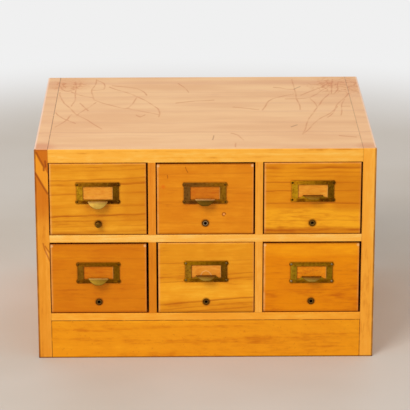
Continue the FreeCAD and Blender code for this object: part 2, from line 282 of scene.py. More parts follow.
    def strokes(self, point, lines, width):
        """1 along every line through two or more places, fading to 0 over half its width."""
        nearest = None
        for line in lines:
            for start, end in zip(line, line[1:]):
                away = self.away_from(point, start, end)
                nearest = away if nearest is None else self.math("MINIMUM", nearest, away)
        return self.ramp(nearest, 0.5 * width, 0.05 * width)

    def gloss(self, roughness, metallic=0.0, specular=0.5):
        """Join the colour and the relief to the surface and set how it shines."""
        self.feed(self.surface.inputs["Base Color"], self.tone)
        self.feed(self.surface.inputs["Roughness"], roughness)
        self.surface.inputs["Metallic"].default_value = metallic
        self.surface.inputs["Specular IOR Level"].default_value = specular
        if self.height is not None:
            relief = self.add("ShaderNodeBump", {"Height": self.height, "Distance": MM, "Strength": 1.0})
            self.feed(self.surface.inputs["Normal"], relief)
        return self.material


def make_floor(tone, backdrop, fade_start, fade_end):
    """A plain pale floor that fades into the pale backdrop away from the cabinet."""
    finish = Finish("floor")
    patch = finish.ramp(finish.noise(finish.point, 300.0), 0.3, 0.7, 0.0, 0.15)
    finish.tone = finish.mix(patch, tone, backdrop)
    finish.gloss(0.75, specular=0.2)
    away = finish.vector("LENGTH", finish.point, output="Value")
    share = finish.product(finish.ramp(away, fade_start, fade_end), seen_by_camera(finish.tree))
    plain = finish.tree.nodes.new("ShaderNodeEmission")
    plain.inputs["Color"].default_value = backdrop
    show_either(finish.tree, share, finish.surface, plain, "Material Output")
    bm = bmesh.new()
    bmesh.ops.create_circle(bm, cap_ends=True, segments=96, radius=floor_radius)
    floor = add_piece("floor", bm, finish.material)


def add_piece(name, bm, material):
    """A new object with a finished mesh and one material."""
    mesh = bpy.data.meshes.new(name)
    bm.to_mesh(mesh)
    bm.free()
    mesh.materials.append(material)
    piece = bpy.data.objects.new(name, mesh)
    bpy.context.scene.collection.objects.link(piece)
    return piece


def dress(node, material):
    """Give a CAD piece its finish."""
    materials = nodes[node].data.materials
    materials.clear()
    materials.append(material)


# Wood

def shade(colour, factors):
    """A screen colour with each part made lighter or darker."""
    return paint(*(min(255, part * factor) for part, factor in zip(colour, factors)))


def wood_tones(usual):
    """The pale, the usual and the dark colour of a wood. Under varnish they differ most in blue."""
    pale, dark = (1.06, 1.12, 1.5), (0.84, 0.7, 0.35)
    if usual in bare_woods:
        pale, dark = (1.06, 1.08, 1.12), (0.86, 0.8, 0.68)
    return shade(usual, pale), paint(*usual), shade(usual, dark)


def wood(name, axes, usual, heart, seed, wander=5.0, bands=0.28, lines=0.24, fibres=0.12, blotches=0.16,
         mottles=0.2):
    """Sawn wood with growth rings round a heart line, fibres along the grain and blotchy varnish.

    axes gives the directions along the grain, across it and into the board, and heart says where
    the middle of the tree lies, across and in depth."""
    finish = Finish(name, seed)
    along, across, deep = (finish.place[axis] for axis in axes)
    slow = finish.joined(finish.math("DIVIDE", along, 8.0), across, deep)
    drift = finish.math("MULTIPLY_ADD", finish.noise(slow, 26.0, 1.0), 2 * wander, -wander)
    aside = finish.total(across, drift, -heart[0])
    below = finish.total(deep, -heart[1])
    ring = finish.vector("LENGTH", finish.joined(aside, below), output="Value")
    broad = finish.noise(finish.joined(finish.math("DIVIDE", along, 60.0), ring), 11.0, 2.0)
    narrow = finish.noise(finish.joined(finish.math("DIVIDE", along, 90.0), ring), 2.6, 2.0, 0.6)
    fibre = finish.noise(finish.joined(finish.math("DIVIDE", along, 40.0), across, deep), 0.8, 2.0)
    patch = finish.noise(finish.point, 30.0, 3.0)
    mottle = finish.noise(finish.joined(finish.math("DIVIDE", along, 5.0), across, deep), 4.0, 3.0, 0.6)
    finish.dark = finish.total(
        finish.product(finish.ramp(broad, 0.35, 0.68), bands),
        finish.product(finish.ramp(narrow, 0.38, 0.7), lines),
        finish.product(finish.ramp(fibre, 0.3, 0.7), fibres),
        finish.product(finish.ramp(patch, 0.3, 0.7), blotches),
        finish.product(finish.ramp(mottle, 0.32, 0.68), mottles))
    finish.tone = tinted(finish, usual)
    finish.height = finish.total(finish.product(narrow, -0.03), finish.product(fibre, -0.05))
    return finish


def tinted(finish, usual):
    """The wood's figure in the tones of a usual colour."""
    pale, middle, deep = wood_tones(usual)
    tone = finish.mix(finish.ramp(finish.dark, 0.0, 0.5), pale, middle)
    return finish.mix(finish.ramp(finish.dark, 0.5, 1.0), tone, deep)


def leave_bare(finish, *shares):
    """Wood without varnish, by the product of some shares."""
    finish.cover(tinted(finish, inside_wood), *shares)


def seam(finish, axis, at, strength=0.9, reach=1.0):
    """The dark line where two boards meet, broken here and there."""
    broken = finish.ramp(finish.noise(finish.point, 9.0), 0.3, 0.5, 0.35, 1.0)
    line = finish.near(finish.place[axis], at, reach)
    finish.cover(seam_colour, line, broken, strength)


seam_colour = paint(124, 60, 14)
inside_wood = (214, 176, 120)
softwood = (226, 190, 136)
plywood = (205, 160, 108)
hardwood = (214, 160, 96)
bare_woods = (inside_wood, softwood, plywood, hardwood)


# Case boards

upright, level = "zyx", "xyz"
case_boards = {
    "left_side": dict(axes=upright, usual=(236, 151, 38), heart=(-150, -300), seed=3),
    "right_side": dict(axes=upright, usual=(249, 168, 52), heart=(60, 330), seed=11),
    "upper_left_partition": dict(axes=upright, usual=(230, 138, 29), heart=(-300, 40), seed=17),
    "upper_right_partition": dict(axes=upright, usual=(244, 163, 49), heart=(-260, -60), seed=23),
    "lower_left_partition": dict(axes=upright, usual=(221, 129, 16), heart=(-300, 90), seed=29),
    "lower_right_partition": dict(axes=upright, usual=(245, 163, 50), heart=(-280, 30), seed=31),
    "middle_shelf": dict(axes=level, usual=(254, 182, 72), heart=(-320, 260), seed=37),
    "bottom_shelf": dict(axes=level, usual=(248, 163, 42), heart=(-350, 20), seed=41),
    "top_board": dict(axes=level, usual=(251, 178, 62), heart=(-100, 60), seed=47),
}


def make_case():
    """The finishes of the boards, the back panel and its screws."""
    for name, look in case_boards.items():
        finish = wood(f"{name}_wood", **look)
        shade_bay_mouth(finish, name)
        behind = finish.ramp(finish.place["y"], front_y + 14, front_y + 46)
        leave_bare(finish, behind, lines_bays(finish, name))
        if name in inner_faces:
            weather_top_with_sheen(finish, scratched=name == "top_board")
        mark_seams(finish, name)
        if name == "left_side":
            mark_left_stile(finish)
        if name in ("left_side", "right_side"):
            wear_shade_and_highlight_corner(finish, -1 if name == "left_side" else 1)
            paint_foot_shadow(finish)
        dress(name, finish.gloss(0.42, specular=0.15))
    dress("plinth_board", plinth_finish())
    back = wood("back_panel_plywood", "xzy", plywood, (170, -60), 53, wander=30.0, bands=0.5)
    dress("back_panel", back.gloss(0.55, specular=0.25))
    steel = Finish("screw_steel", 59)
    rust = steel.ramp(steel.noise(steel.point, 1.5, 3.0), 0.45, 0.7)
    steel.tone = steel.mix(rust, paint(150, 146, 138), paint(112, 74, 44))
    steel.height = steel.product(rust, 0.05)
    dress("back_screws", steel.gloss(0.38, metallic=0.85))


# Which way the outer boards look where they line the bays. Shelves and partitions do so all round.
inner_faces = {"left_side": ("x", 1), "right_side": ("x", -1), "top_board": ("z", -1)}


def lines_bays(finish, name):
    """1 on the faces of a board that line the bays."""
    if name not in inner_faces:
        return 1.0
    axis, sense = inner_faces[name]
    return finish.ramp(finish.facing[axis], sense * 0.5, sense * 0.8)


def paint_foot_shadow(finish):
    """Painted contact shadow: the dark line along the foot of the case, where it meets the ground."""
    finish.cover(paint(86, 40, 8), finish.ramp(finish.place["z"], 2.6, 0.8, 0.0, 0.8))


# The painted shade in the gaps round the drawers, and how much of it there is at their mouths and further
# in.
gap_shade = paint(160, 58, 8)
gap_shade_shares = (0.85, 0.3)


def shade_bay_mouth(finish, name):
    """Painted shade, dark and reddish, on the edges round each bay's mouth, where the gaps round the drawers
    lie in shade.
    """
    inside = finish.ramp(finish.place["y"], front_y + 0.8, front_y + 2.0)
    deep = finish.ramp(finish.place["y"], front_y + 6.0, front_y + 16.0, *gap_shade_shares)
    finish.cover(gap_shade, inside, lines_bays(finish, name), deep)


def mark_seams(finish, name):
    """The joints that show faintly on a board's front edge and darker on the top."""
    if "partition" not in name:
        ahead = finish.ramp(finish.facing["y"], -0.3, -0.7)
        for side, top_strength in ((-1, 0.85), (1, 0.55)):
            strength = finish.ramp(ahead, 0.0, 1.0, top_strength, 0.35)
            seam(finish, "x", side * inner_half_width, strength)
    if name == "bottom_shelf":
        seam(finish, "z", plinth_top)
    if "partition" in name:
        for top in shelf_tops.values():
            seam(finish, "z", top, 0.6, 0.7)
            seam(finish, "z", top - shelf_thickness, 0.6, 0.7)


def plinth_finish():
    """The plinth board: blotchy varnish with slanting dark streaks and specks."""
    finish = wood("plinth_board_wood", "xzy", (242, 154, 19), (-40, 120), 61, mottles=0.14)
    leave_bare(finish, finish.ramp(finish.facing["y"], 0.5, 0.8))
    slant = finish.math("MULTIPLY_ADD", finish.place["z"], 1.6, finish.place["x"])
    streak = finish.noise(finish.joined(slant, finish.math("DIVIDE", finish.place["z"], 3.0)), 16.0, 2.0)
    finish.cover(paint(214, 116, 8), finish.ramp(streak, 0.45, 0.75, 0.0, 0.16))
    speck = finish.noise(finish.point, 4.0, 1.0)
    finish.cover(paint(196, 98, 10), finish.ramp(speck, 0.68, 0.76, 0.0, 0.3))
    for side in (-1, 1):
        seam(finish, "x", side * inner_half_width, 1.0, 1.6)
    seam(finish, "z", plinth_top, 1.0, 1.3)
    paint_foot_shadow(finish)
    return finish.gloss(0.42, specular=0.12)


# Long scratches in the top's varnish, as (x, y) from the middle of the top's front edge.
scratches = [
    [(-239, 331), (-234, 285), (-221, 241), (-196, 175), (-165, 109)], [(-204, 262), (-188, 218)],
    [(-216, 396), (-213, 330), (-213, 277), (-216, 244)], [(-221, 334), (-202, 311), (-185, 296)],
    [(-242, 397), (-238, 350), (-225, 338), (-213, 357)], [(-203, 186), (-193, 226), (-176, 264)],
    [(-181, 412), (-185, 349), (-185, 311), (-180, 279), (-154, 254), (-129, 228), (-121, 254), (-110, 296)],
    [(-179, 404), (-168, 384), (-166, 350), (-185, 344)], [(-153, 372), (-110, 352), (-95, 309)],
    [(-157, 364), (-124, 321), (-95, 279), (-77, 231), (-71, 177)], [(-128, 232), (-94, 206), (-72, 188)],
    [(-235, 124), (-225, 158), (-211, 193)], [(-241, 208), (-227, 169), (-209, 144)],
    [(-109, 188), (-101, 179), (-95, 188)], [(-45, 260), (-15, 272), (17, 281)],
    [(-39, 386), (-31, 362), (-26, 331)], [(96, 217), (102, 258), (116, 287), (151, 313)],
    [(117, 360), (129, 356), (141, 345), (153, 344)], [(152, 406), (155, 313), (156, 217)],
    [(138, 283), (176, 291), (197, 335), (218, 374)], [(176, 288), (183, 234), (166, 159), (151, 77)],
    [(208, 312), (183, 238)], [(222, 405), (212, 312)], [(241, 319), (220, 252), (199, 173)],
    [(232, 282), (220, 187)], [(219, 237), (187, 166), (151, 77)], [(163, 305), (189, 343), (212, 382)],
    [(47, 236), (90, 220)], [(41, 82), (51, 72), (61, 48)], [(212, 69), (240, 63)], [(227, 237), (241, 237)],
    [(231, 389), (226, 343), (216, 312)], [(44, 12), (47, 32)],
]
deep_scratches = [[(153, 344), (164, 361)], [(136, 118), (145, 128)], [(12, 69), (12, 48)]]
# Strokes are drawn on the top squeezed by this much from front to back, so a scratch that runs
# along the board is about twice as wide as one across it.
squeeze = 0.5
# Darker bands across the top, as (place, width, strength).
top_bands = [(16, 12, 0.3), (72, 4, 0.35), (91, 3, 0.8), (144, 6, 0.35), (210, 7, 0.3), (256, 5, 0.2),
             (297, 6, 0.3), (325, 5, 0.35), (386, 14, 0.5)]
# Where hands have darkened the top's corners, as a place, a reach, a share and a colour.
handled_corners = [((-254, 14), 32, 0.5, paint(204, 120, 76)), ((250, 14), 24, 0.4, paint(198, 120, 70)),
                   ((-227, 374), 50, 0.35, paint(214, 140, 82)), ((236, 372), 66, 0.35, paint(214, 140, 82))]
# Where the varnish is crazed, as a place and the reaches within which it is so all over and at all.
crazed_corners = [((-227, 374), 12, 46), ((232, 370), 26, 72)]


def weather_top_with_sheen(finish, scratched):
    """The top face: its varnish has gone dull and pale, with a painted sheen mixed into that pale colour,
    and is scratched and crazed.
    """
    x, y = finish.place["x"], finish.total(finish.place["y"], -front_y)
    span = back_y - front_y
    rear_edge = finish.product(finish.ramp(y, span - 8, span - 4), finish.ramp(finish.facing["z"], 0.1, 0.4))
    up = finish.math("MAXIMUM", finish.ramp(finish.facing["z"], 0.5, 0.85), rear_edge)
    cloud = finish.noise(finish.joined(finish.math("DIVIDE", x, 4.0), y), 42.0, 3.0)
    # The top faces made pale: partly dull, worn varnish and partly a painted sheen.
    dull = finish.mix(finish.ramp(cloud, 0.3, 0.7), paint(234, 190, 144), paint(222, 171, 128))
    finish.cover(dull, up, 0.84)
    wave = finish.math("MULTIPLY_ADD", finish.noise(finish.joined(x, y), 60.0, 2.0), 16.0, -8.0)
    band = finish.figure(finish.total(y, wave), span, top_bands)
    finish.cover(paint(206, 138, 106), up, band, 0.6)
    flat = finish.joined(x, y)
    for place, reach, share, colour in handled_corners:
        finish.cover(colour, up, finish.spot(flat, place, 0.2 * reach, reach), share)
    corner = finish.math("MAXIMUM", *(finish.spot(flat, *crazed) for crazed in crazed_corners))
    craze = finish.near(finish.noise(finish.point, 17.0, 2.0), 0.5, 0.06)
    finish.cover(paint(200, 118, 54), up, corner, craze, 0.7)
    if scratched:
        scratch_top(finish, x, y, up)


def smoothed(line):
    """A line with a place added wherever it bends by over half a millimetre, so that it curves."""
    ends = [Vector(place) for place in (line[0], *line, line[-1])]
    places = []
    for before, start, end, after in zip(ends, ends[1:], ends[2:], ends[3:]):
        middle = (9 * (start + end) - before - after) / 16
        aside = abs((middle - start).cross(end - start)) / (end - start).length
        places += [start, middle] if aside > 0.5 else [start]
    return [*places, ends[-1]]


def scratch_top(finish, x, y, up):
    """The long curved scratches, soft and broken, and three short deep ones."""
    sway = 12.0
    bend = finish.add("ShaderNodeTexNoise", {"Vector": finish.point, "Scale": 1 / 60, "Detail": 0.0}, 1)
    bent = finish.vector("MULTIPLY_ADD", bend, (sway, sway, 0.0))
    finish.feed(bent.node.inputs[2], finish.joined(finish.total(x, -sway / 2), finish.total(y, -sway / 2)))
    squeezed = finish.vector("MULTIPLY", bent, (1.0, squeeze, 0.0))
    broken = finish.ramp(finish.noise(finish.point, 18.0, 2.0), 0.3, 0.65, 0.2, 0.6)
    for lines, width, share, colour in ((scratches, 3.8, broken, paint(198, 110, 50)),
                                        (deep_scratches, 3.4, 0.55, paint(150, 80, 38))):
        lines = [[(across, squeeze * back) for across, back in smoothed(line)] for line in lines]
        finish.cover(colour, up, finish.strokes(squeezed, lines, width), share)


def mark_left_stile(finish):
    """Bands and dark lines that slant across the front edge of the left board."""
    ahead = finish.ramp(finish.facing["y"], -0.5, -0.8)
    flat = finish.joined(finish.place["x"], finish.place["z"])
    slant = finish.math("MULTIPLY_ADD", finish.place["x"], 2.0, finish.place["z"])
    above = finish.ramp(slant, -184, -180)
    below = finish.product(finish.ramp(slant, -214, -218), finish.ramp(finish.place["z"], 205, 262))
    between = finish.product(finish.ramp(slant, -217, -214), finish.ramp(slant, -181, -184))
    for band, share, colour in ((above, 0.8, paint(198, 99, 4)), (between, 0.6, paint(244, 154, 30)),
                                (below, 0.75, paint(206, 106, 4))):
        finish.cover(colour, ahead, band, share)
    for lines, width, share, colour in stile_lines:
        finish.cover(colour, ahead, finish.strokes(flat, lines, width), share)
    edge = finish.near(finish.place["z"], case_height - 1.6, 1.6)
    finish.cover(paint(164, 84, 16), edge, finish.ramp(finish.place["y"], front_y + 2.4, front_y + 1.0), 0.6)


# Dark lines on the left board's front edge, each set with its width, share and colour.
stile_lines = [
    ([[(-260, 338.5), (-254.2, 326.3), (-248.7, 315.4), (-248.8, 310)], [(-246.5, 324.5), (-245.8, 316)],
      [(-261.5, 305), (-254.2, 291.2), (-247.6, 279.2), (-243.4, 272)]], 5.4, 0.8, paint(150, 66, 4)),
    ([[(-248.4, 178), (-246, 169)]], 5.0, 0.6, paint(255, 172, 88)),
    ([[(-252.6, 191), (-250.3, 180.7), (-242.6, 162)], [(-249.5, 186.4), (-243.6, 177)]], 4.0, 0.7,
     paint(172, 84, 8)),
]


def wear_shade_and_highlight_corner(finish, side):
    """The outer corner of a side board: dark down the front, partly dirt and partly painted shade, and pale
    along the top, partly wear and partly a painted highlight.
    """
    out = finish.math("MULTIPLY", finish.place["x"], side)
    broken = finish.ramp(finish.noise(finish.point, 30.0, 2.0), 0.35, 0.6, 0.65, 1.0)
    corner = finish.ramp(out, case_half_width - 3.6, case_half_width - 1.8)
    ahead = finish.ramp(finish.place["y"], front_y + 2.5, front_y + 0.8)
    # Dark down the rounded front edge: partly dirt and partly painted shade.
    finish.cover(paint(124, 62, 12), corner, ahead, broken, 0.75)
    # Pale along the top edge: partly wear and partly a painted highlight.
    high = finish.ramp(finish.place["z"], case_height - 2.4, case_height - 0.8)
    behind = finish.ramp(finish.place["y"], front_y + 1.0, front_y + 6.0)
    finish.cover(paint(242, 206, 182), corner, high, behind, 0.75)


# Drawer fronts

# Each front has its usual colour, the colour of the wood in its window, the place of its heart,
# the tilt of its figure at the lower edge and at the upper edge, how much wear and painted
# highlight its left, right and upper rims have, its dark growth lines as (height, width,
# strength), and the heights and colour of a paler belt.
fronts = {
    1: dict(usual=(231, 150, 26), window=(238, 159, 54), heart=(-120, 240), tilt=(0.03, 0.03),
            rim_wear_and_highlight=(0.8, 0.5, 0.3), lines=[
        (3.8, 3.5, 0.55), (14, 1.5, 0.3), (22, 2.0, 0.35), (31, 2.0, 0.95), (46, 1.5, 0.3),
        (66.6, 1.8, 0.6), (81.4, 2.4, 1.0), (89.6, 1.8, 0.6), (104, 1.5, 0.3), (110, 1.5, 0.3)]),
    2: dict(usual=(227, 136, 18), window=(208, 114, 18), heart=(40, 300), tilt=(0.0, 0.02),
            rim_wear_and_highlight=(0.7, 0.5, 0.0), lines=[
        (18, 2.0, 0.2), (52, 2.0, 0.2), (74, 2.0, 0.2), (98, 2.0, 0.25)]),
    3: dict(usual=(228, 141, 16), window=(244, 163, 50), heart=(160, 200), tilt=(0.0, 0.0),
            rim_wear_and_highlight=(0.6, 0.5, 0.4), lines=[
        (5.5, 4.0, 0.9), (11.0, 1.3, 0.5), (21.5, 1.2, 0.35), (49.3, 2.2, 0.95), (69.9, 1.5, 0.7),
        (83.1, 1.5, 0.7), (93.0, 2.0, 0.3), (99.5, 2.0, 0.35), (107, 4.0, 0.9)],
            belt=(13, 38, (250, 172, 30))),
    4: dict(usual=(219, 126, 9), window=(213, 119, 12), heart=(10, 330), tilt=(-0.02, -0.02),
            rim_wear_and_highlight=(0.7, 0.5, 0.0), lines=[
        (24, 2.0, 0.2), (47, 2.0, 0.2), (90, 2.0, 0.25)]),
    5: dict(usual=(232, 149, 24), window=(239, 155, 52), heart=(-60, 260), tilt=(0.09, 0.03),
            rim_wear_and_highlight=(0.7, 0.5, 0.3), lines=[
        (3.2, 1.6, 0.6), (10.7, 1.6, 0.6), (19, 2.2, 0.95), (53.8, 1.6, 0.55), (61.8, 1.6, 0.55),
        (77.3, 1.3, 0.3), (84.5, 1.2, 0.65)], belt=(24, 48, (245, 164, 32))),
    6: dict(usual=(234, 138, 2), window=(244, 150, 20), heart=(60, 320), tilt=(0.01, 0.0),
            rim_wear_and_highlight=(1.0, 0.7, 0.0), lines=[
        (14, 2.0, 0.2), (36, 2.0, 0.2), (63, 2.0, 0.2)], belt=(98, 120, (242, 150, 10))),
}
frame_half_width, frame_half_height = 32.7, 16.9
window_half_width, window_half_height = 23.2, 10.8
boss_overhang, frame_thickness = 0.3, 1.8


def frame_middle(number):
    """The (x, z) of the middle of a drawer's card frame."""
    low, high = edges(f"drawer_{number}_card_frame")
    return (low.x + high.x) / 2, high.z - frame_half_height - boss_overhang


def rod_middle(number):
    """The (x, z) of a drawer's rod and eyelet."""
    low, high = edges(f"drawer_{number}_rod")
    return (low.x + high.x) / 2, (low.z + high.z) / 2


def drawer_front_finish(number):
    """One drawer front, with its own figure, window, worn rims and the grime round its brass."""
    look = fronts[number]
    low, high = edges(f"drawer_{number}_front")
    finish = wood(f"drawer_{number}_front_wood", "xzy", look["usual"], look["heart"], 70 + 7 * number,
                  bands=0.26, lines=0.22)
    ahead = finish.ramp(finish.facing["y"], -0.3, -0.7)
    flat = finish.joined(finish.place["x"], finish.place["z"])
    if "belt" in look:
        start, end, colour = look["belt"]
        belt = finish.between(finish.place["z"], low.z + start, low.z + end, 8)
        finish.cover(tinted(finish, colour), belt)
    draw_figure(finish, low, high, look)
    cloudy = finish.joined(finish.math("DIVIDE", finish.place["x"], 2.0), finish.place["z"])
    cloud = finish.ramp(finish.noise(cloudy, 24.0, 3.0), 0.42, 0.72)
    finish.stain(paint(238, 214, 160), cloud, 0.35)
    leave_bare(finish, finish.ramp(finish.facing["y"], 0.5, 0.8))
    # Painted shade on the front's own edges, where they face the gaps round the drawer.
    around = finish.product(finish.ramp(finish.place["y"], low.y + 0.5, low.y + 1.6),
                            finish.ramp(finish.facing["y"], 0.6, 0.3))
    deep = finish.ramp(finish.place["y"], low.y + 5.0, low.y + 12.0, *gap_shade_shares)
    finish.cover(gap_shade, around, deep)
    light_window(finish, number, look["window"], ahead)
    for (axis, reach, colour), at, share in zip(rims, (low.x, high.x, high.z), look["rim_wear_and_highlight"]):
        wear_and_highlight_rim(finish, axis, at, reach, share, colour)
    # Darker towards the lower edge.
    shade_rim(finish, low.z, 5.0, 0.45)
    # Fronts with no wear on the upper rim get painted shadow of the shelf above along the upper edge and
    # painted highlights at the upper corners.
    if not look["rim_wear_and_highlight"][2]:
        shade_rim(finish, high.z, -3.0, 0.5)
        for x in (low.x + 2.2, high.x - 2.2):
            bright = finish.spot(flat, (x, high.z - 3.0), 0.8, 3.2)
            finish.cover(paint(255, 206, 144), bright, 0.55)
    if number in darker_patches:
        darken(finish, ahead, *darker_patches[number])
    if number in own_marks:
        own_marks[number](finish, flat, ahead)
    darken_round_brass(finish, number, flat, ahead)
    return finish.gloss(0.4, specular=0.12)


def draw_figure(finish, low, high, look):
    """The dark growth lines of a front, tilted a little and slightly wavy."""
    height = finish.total(finish.place["z"], -low.z)
    aside = finish.total(finish.place["x"], -(low.x + high.x) / 2)
    lower_tilt, upper_tilt = look["tilt"]
    span = high.z - low.z
    tilt = finish.math("MULTIPLY_ADD", height, (upper_tilt - lower_tilt) / span, lower_tilt)
    wave = finish.noise(finish.joined(finish.math("DIVIDE", aside, 1.6), height), 26.0, 2.0)
    level_height = finish.total(height, finish.product(aside, tilt, -1.0),
                                finish.math("MULTIPLY_ADD", wave, 5.0, -2.5))
    fade = finish.noise(finish.joined(finish.math("DIVIDE", aside, 5.0), height), 12.0, 2.0)
    drawn = finish.figure(level_height, span, look["lines"])
    share = finish.product(drawn, finish.ramp(fade, 0.25, 0.6, 0.25, 1.0))
    finish.cover(shade(look["usual"], (0.79, 0.62, 0.22)), share)


def light_window(finish, number, colour, ahead):
    """The wood in the card frame's window has seen less light and is paler, with painted shadow of the frame
    along its left, upper and lower edges and a pale line along its right one.
    """
    x, z = frame_middle(number)
    inside = finish.product(finish.oblong((x, z), window_half_width, window_half_height, 0.6), ahead)
    finish.cover(tinted(finish, colour), inside, 0.8)
    streaky = finish.joined(finish.math("DIVIDE", finish.place["x"], 3.0), finish.place["z"])
    streak = finish.ramp(finish.noise(streaky, 3.4, 3.0, 0.6), 0.42, 0.66)
    finish.stain(paint(236, 200, 140), inside, streak, 0.5)
    # Painted shadow of the raised frame along the window's left, upper and lower edges, and a pale line
    # along its right edge.
    dark, pale = paint(142, 66, 6), paint(250, 190, 110)
    for axis, at, share, tint in (("x", x - window_half_width, 0.75, dark),
                                  ("x", x + window_half_width, 0.4, pale),
                                  ("z", z + window_half_height, 0.5, dark),
                                  ("z", z - window_half_height, 0.4, dark)):
        edge = finish.near(finish.place[axis], at, 2.0)
        finish.cover(tint, inside, edge, share)


def shade_rim(finish, at, reach, share):
    """A darker band along a front's lower or upper edge, up to reach millimetres from it."""
    rim = finish.ramp(finish.place["z"], at + reach, at + 0.1 * reach)
    finish.cover(paint(148, 74, 4), rim, share)


# The rims of every front, left, right and upper, paler from wear and a painted highlight: across which axis,
# how wide and what colour.
rims = [("x", 4.2, paint(250, 184, 104)), ("x", 3.6, paint(230, 158, 86)), ("z", 2.6, paint(252, 190, 118))]


def wear_and_highlight_rim(finish, axis, at, reach, share, colour):
    """The paler edge of a front, partly wear and partly a painted highlight, with painted shade where it
    turns into the gap.
    """
    away = finish.math("ABSOLUTE", finish.total(finish.place[axis], -at))
    broken = finish.ramp(finish.noise(finish.point, 16.0, 2.0), 0.3, 0.6, 0.4, 1.0)
    ahead = finish.ramp(finish.facing["y"], 0.0, -0.3)
    finish.cover(colour, finish.ramp(away, reach, 0.0), ahead, broken, share)
    if axis == "x":
        # Painted shade on the rounded edge where it turns into the gap.
        finish.cover(paint(176, 88, 20), finish.ramp(away, 0.3, 1.3, 0.5, 0.0))


def darken_round_brass(finish, number, flat, ahead):
    """Darker wood round the card frame and round the eyelet."""
    middle = frame_middle(number)
    beside = finish.oblong(middle, frame_half_width, frame_half_height, 2.4)
    within = finish.oblong(middle, window_half_width - 1, window_half_height - 1, 1.2)
    finish.cover(paint(150, 82, 12), ahead, beside, finish.math("SUBTRACT", 1.0, within), 0.45)
    ring = finish.spot(flat, rod_middle(number), 5.6, 8.0)
    finish.cover(paint(128, 62, 6), ahead, ring, 0.55)


# Where a front's wood is darker: between which places across it, between which heights, and how much.
darker_patches = {1: ((-120, -96), (230, 296), 0.35), 3: ((206, 238), (244, 296), 0.45)}


def darken(finish, ahead, across, heights, share):
    """A patch of darker wood on a front, fading at its edges."""
    patch = finish.product(finish.between(finish.place["x"], *across, 14),
                           finish.between(finish.place["z"], *heights, 6))
    finish.cover(paint(204, 114, 4), ahead, patch, share)


def mark_front_1(finish, flat, ahead):
    """Painted shadows beside the knob and under the tongue of the first drawer."""
    for place, reach in (((-160.5, 223), 11), ((-179, 250), 12), ((-150.5, 251), 12)):
        finish.cover(paint(180, 96, 8), ahead, finish.spot(flat, place, 2, reach), 0.35)


def mark_front_2(finish, flat, ahead):
    """A knot, two dark ticks and an orange spot on the second drawer."""
    knot = (28.4, 237.1)
    ring = finish.math("SUBTRACT", finish.spot(flat, knot, 2.6, 4.2), finish.spot(flat, knot, 0.8, 2.4))
    opening = finish.spot(flat, (knot[0] + 2.6, knot[1] - 2.0), 0.6, 2.4)
    ring = finish.math("SUBTRACT", ring, opening, clamp=True)
    finish.cover(paint(150, 66, 6), ahead, ring, 0.75)
    finish.cover(paint(250, 176, 116), ahead, finish.spot(flat, knot, 0.6, 2.2), 0.6)
    ticks = finish.strokes(flat, [[(-30.9, 313.6), (-29.6, 309.5), (-27.4, 305.2)],
                                  [(-58.8, 300.6), (-58.2, 296)]], 2.2)
    finish.cover(paint(146, 70, 4), ahead, ticks, 0.7)
    finish.cover(paint(226, 98, 10), ahead, finish.spot(flat, (-65.4, 282.1), 1, 5), 0.5)


def mark_front_5(finish, flat, ahead):
    """A pale arc worn into the window of the fifth drawer."""
    scar = finish.strokes(flat, [[(-9, 135), (-5, 142.5), (0, 145), (5, 143), (9.5, 136.5)]], 2.4)
    finish.cover(paint(255, 204, 134), ahead, scar, 0.45)


def mark_front_6(finish, flat, ahead):
    """A mottled window on the sixth drawer."""
    spot = finish.spot(flat, (166, 140.5), 6, 26)
    mottle = finish.ramp(finish.noise(flat, 3.0, 3.0), 0.48, 0.7)
    finish.cover(paint(180, 96, 20), ahead, spot, mottle, 0.4)


own_marks = {1: mark_front_1, 2: mark_front_2, 5: mark_front_5, 6: mark_front_6}


def make_drawer_boxes():
    """The unvarnished wood of the drawers' boxes and follower blocks, shared by all six."""
    for part, axes, usual, heart, seed in (("sides", "yzx", softwood, (-60, 120), 56),
                                           ("back", "xzy", softwood, (-90, 140), 41),
                                           ("bottom", "xyz", plywood, (150, -50), 1),
                                           ("follower", "xzy", hardwood, (-40, 130), 34)):
        finish = wood(f"drawer_{part}_wood", axes, usual, heart, seed)
        material = finish.gloss(0.6, specular=0.2)
        for number in fronts:
            dress(f"drawer_{number}_{part}", material)


# Brass

# The patina of each card frame at its left and right end, of its tongue at its bend and tip, of its
# pins and of the eyelet's lip, then what darkens its rails and how much painted shade and grime
# darken the lower one. The ends, the tongue and the lip also carry painted reflection.
patinas = {
    1: dict(left=(204, 151, 26), right=(116, 76, 13), bend=(190, 152, 78), tip=(186, 150, 66),
            pin=(106, 71, 18), lip=(130, 97, 46), rail=(222, 199, 205), shade_and_grime=0.9),
    2: dict(left=(136, 94, 38), right=(157, 108, 20), bend=(222, 180, 108), tip=(92, 66, 14),
            pin=(116, 78, 24), lip=(178, 153, 116), rail=(255, 240, 214), shade_and_grime=0.7),
    3: dict(left=(213, 160, 26), right=(118, 79, 10), bend=(110, 66, 10), tip=(152, 114, 36),
            pin=(86, 56, 14), lip=(130, 98, 44), rail=(252, 231, 208), shade_and_grime=0.8),
    4: dict(left=(144, 98, 22), right=(136, 94, 12), bend=(206, 168, 84), tip=(148, 114, 34),
            pin=(108, 72, 22), lip=(136, 106, 54), rail=(255, 237, 184), shade_and_grime=0.5),
    5: dict(left=(177, 128, 30), right=(116, 77, 14), bend=(100, 62, 12), tip=(156, 121, 46),
            pin=(132, 106, 64), lip=(124, 90, 38), rail=(255, 248, 136), shade_and_grime=0.6),
    6: dict(left=(174, 137, 25), right=(156, 117, 16), bend=(106, 66, 14), tip=(158, 126, 54),
            pin=(158, 136, 102), lip=(134, 104, 52), rail=(240, 216, 190), shade_and_grime=0.4),
}


